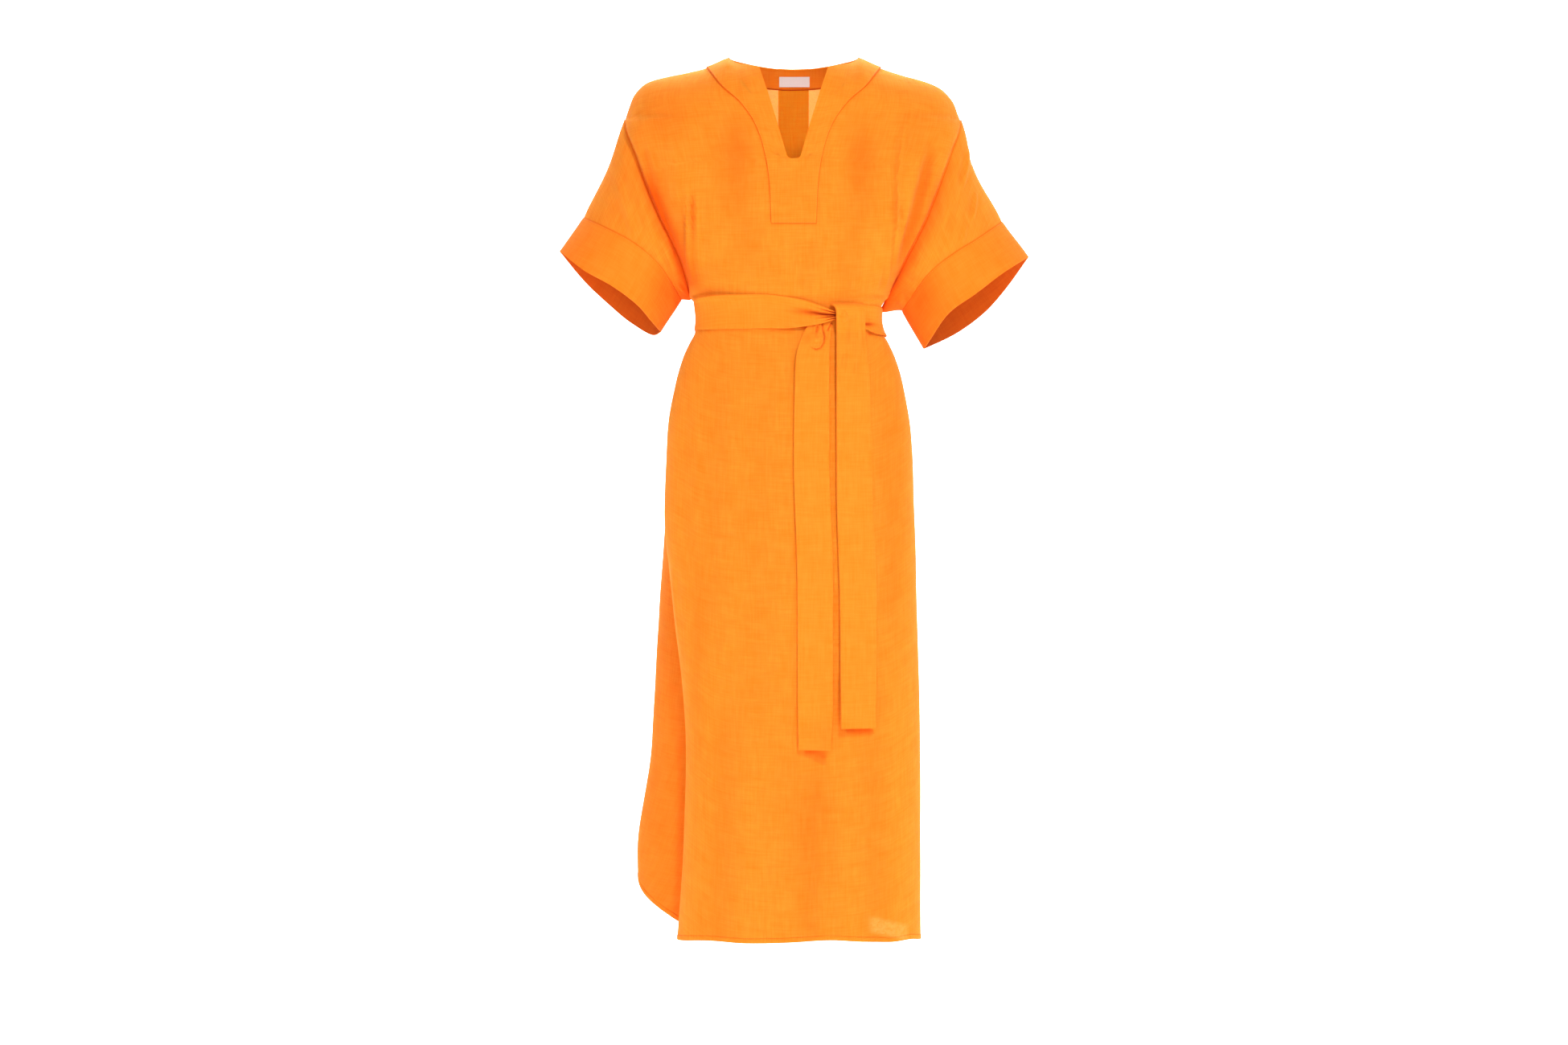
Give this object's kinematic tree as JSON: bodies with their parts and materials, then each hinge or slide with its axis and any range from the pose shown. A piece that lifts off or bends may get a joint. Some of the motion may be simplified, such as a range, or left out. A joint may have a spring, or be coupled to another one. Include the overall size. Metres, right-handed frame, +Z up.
{
  "type": "caftan",
  "caption": "Long loose caftan of linen with a V neck, wide short cuffed sleeves, a shirt-tail hem and a tied belt, shown hollow as if worn.",
  "frame": {"origin": "midway between the two high shoulder points, where neckline and shoulder seams meet, at their height", "axes": "+Z up along the garment, +X towards the wearer's left sleeve, -Y out of the garment's front"},
  "size_m": [0.688, 0.2685, 1.3006],
  "materials": {
    "linen": "matt plain weave linen, orange",
    "linen_double": "the same linen cut double, matt",
    "label": "bare white woven tape"
  },
  "bodies": {
    "root": {"back": "linen", "back_facing": "linen_double", "back_pleat": "linen", "belt": "linen_double", "belt_end_left": "linen_double", "belt_end_right": "linen_double", "belt_knot": "linen_double", "belt_short": "linen_double", "cuff_left": "linen_double", "cuff_right": "linen_double", "front": "linen", "front_facing": "linen", "label": "label", "sleeve_left": "linen", "sleeve_right": "linen"}
  },
  "joints": []
}
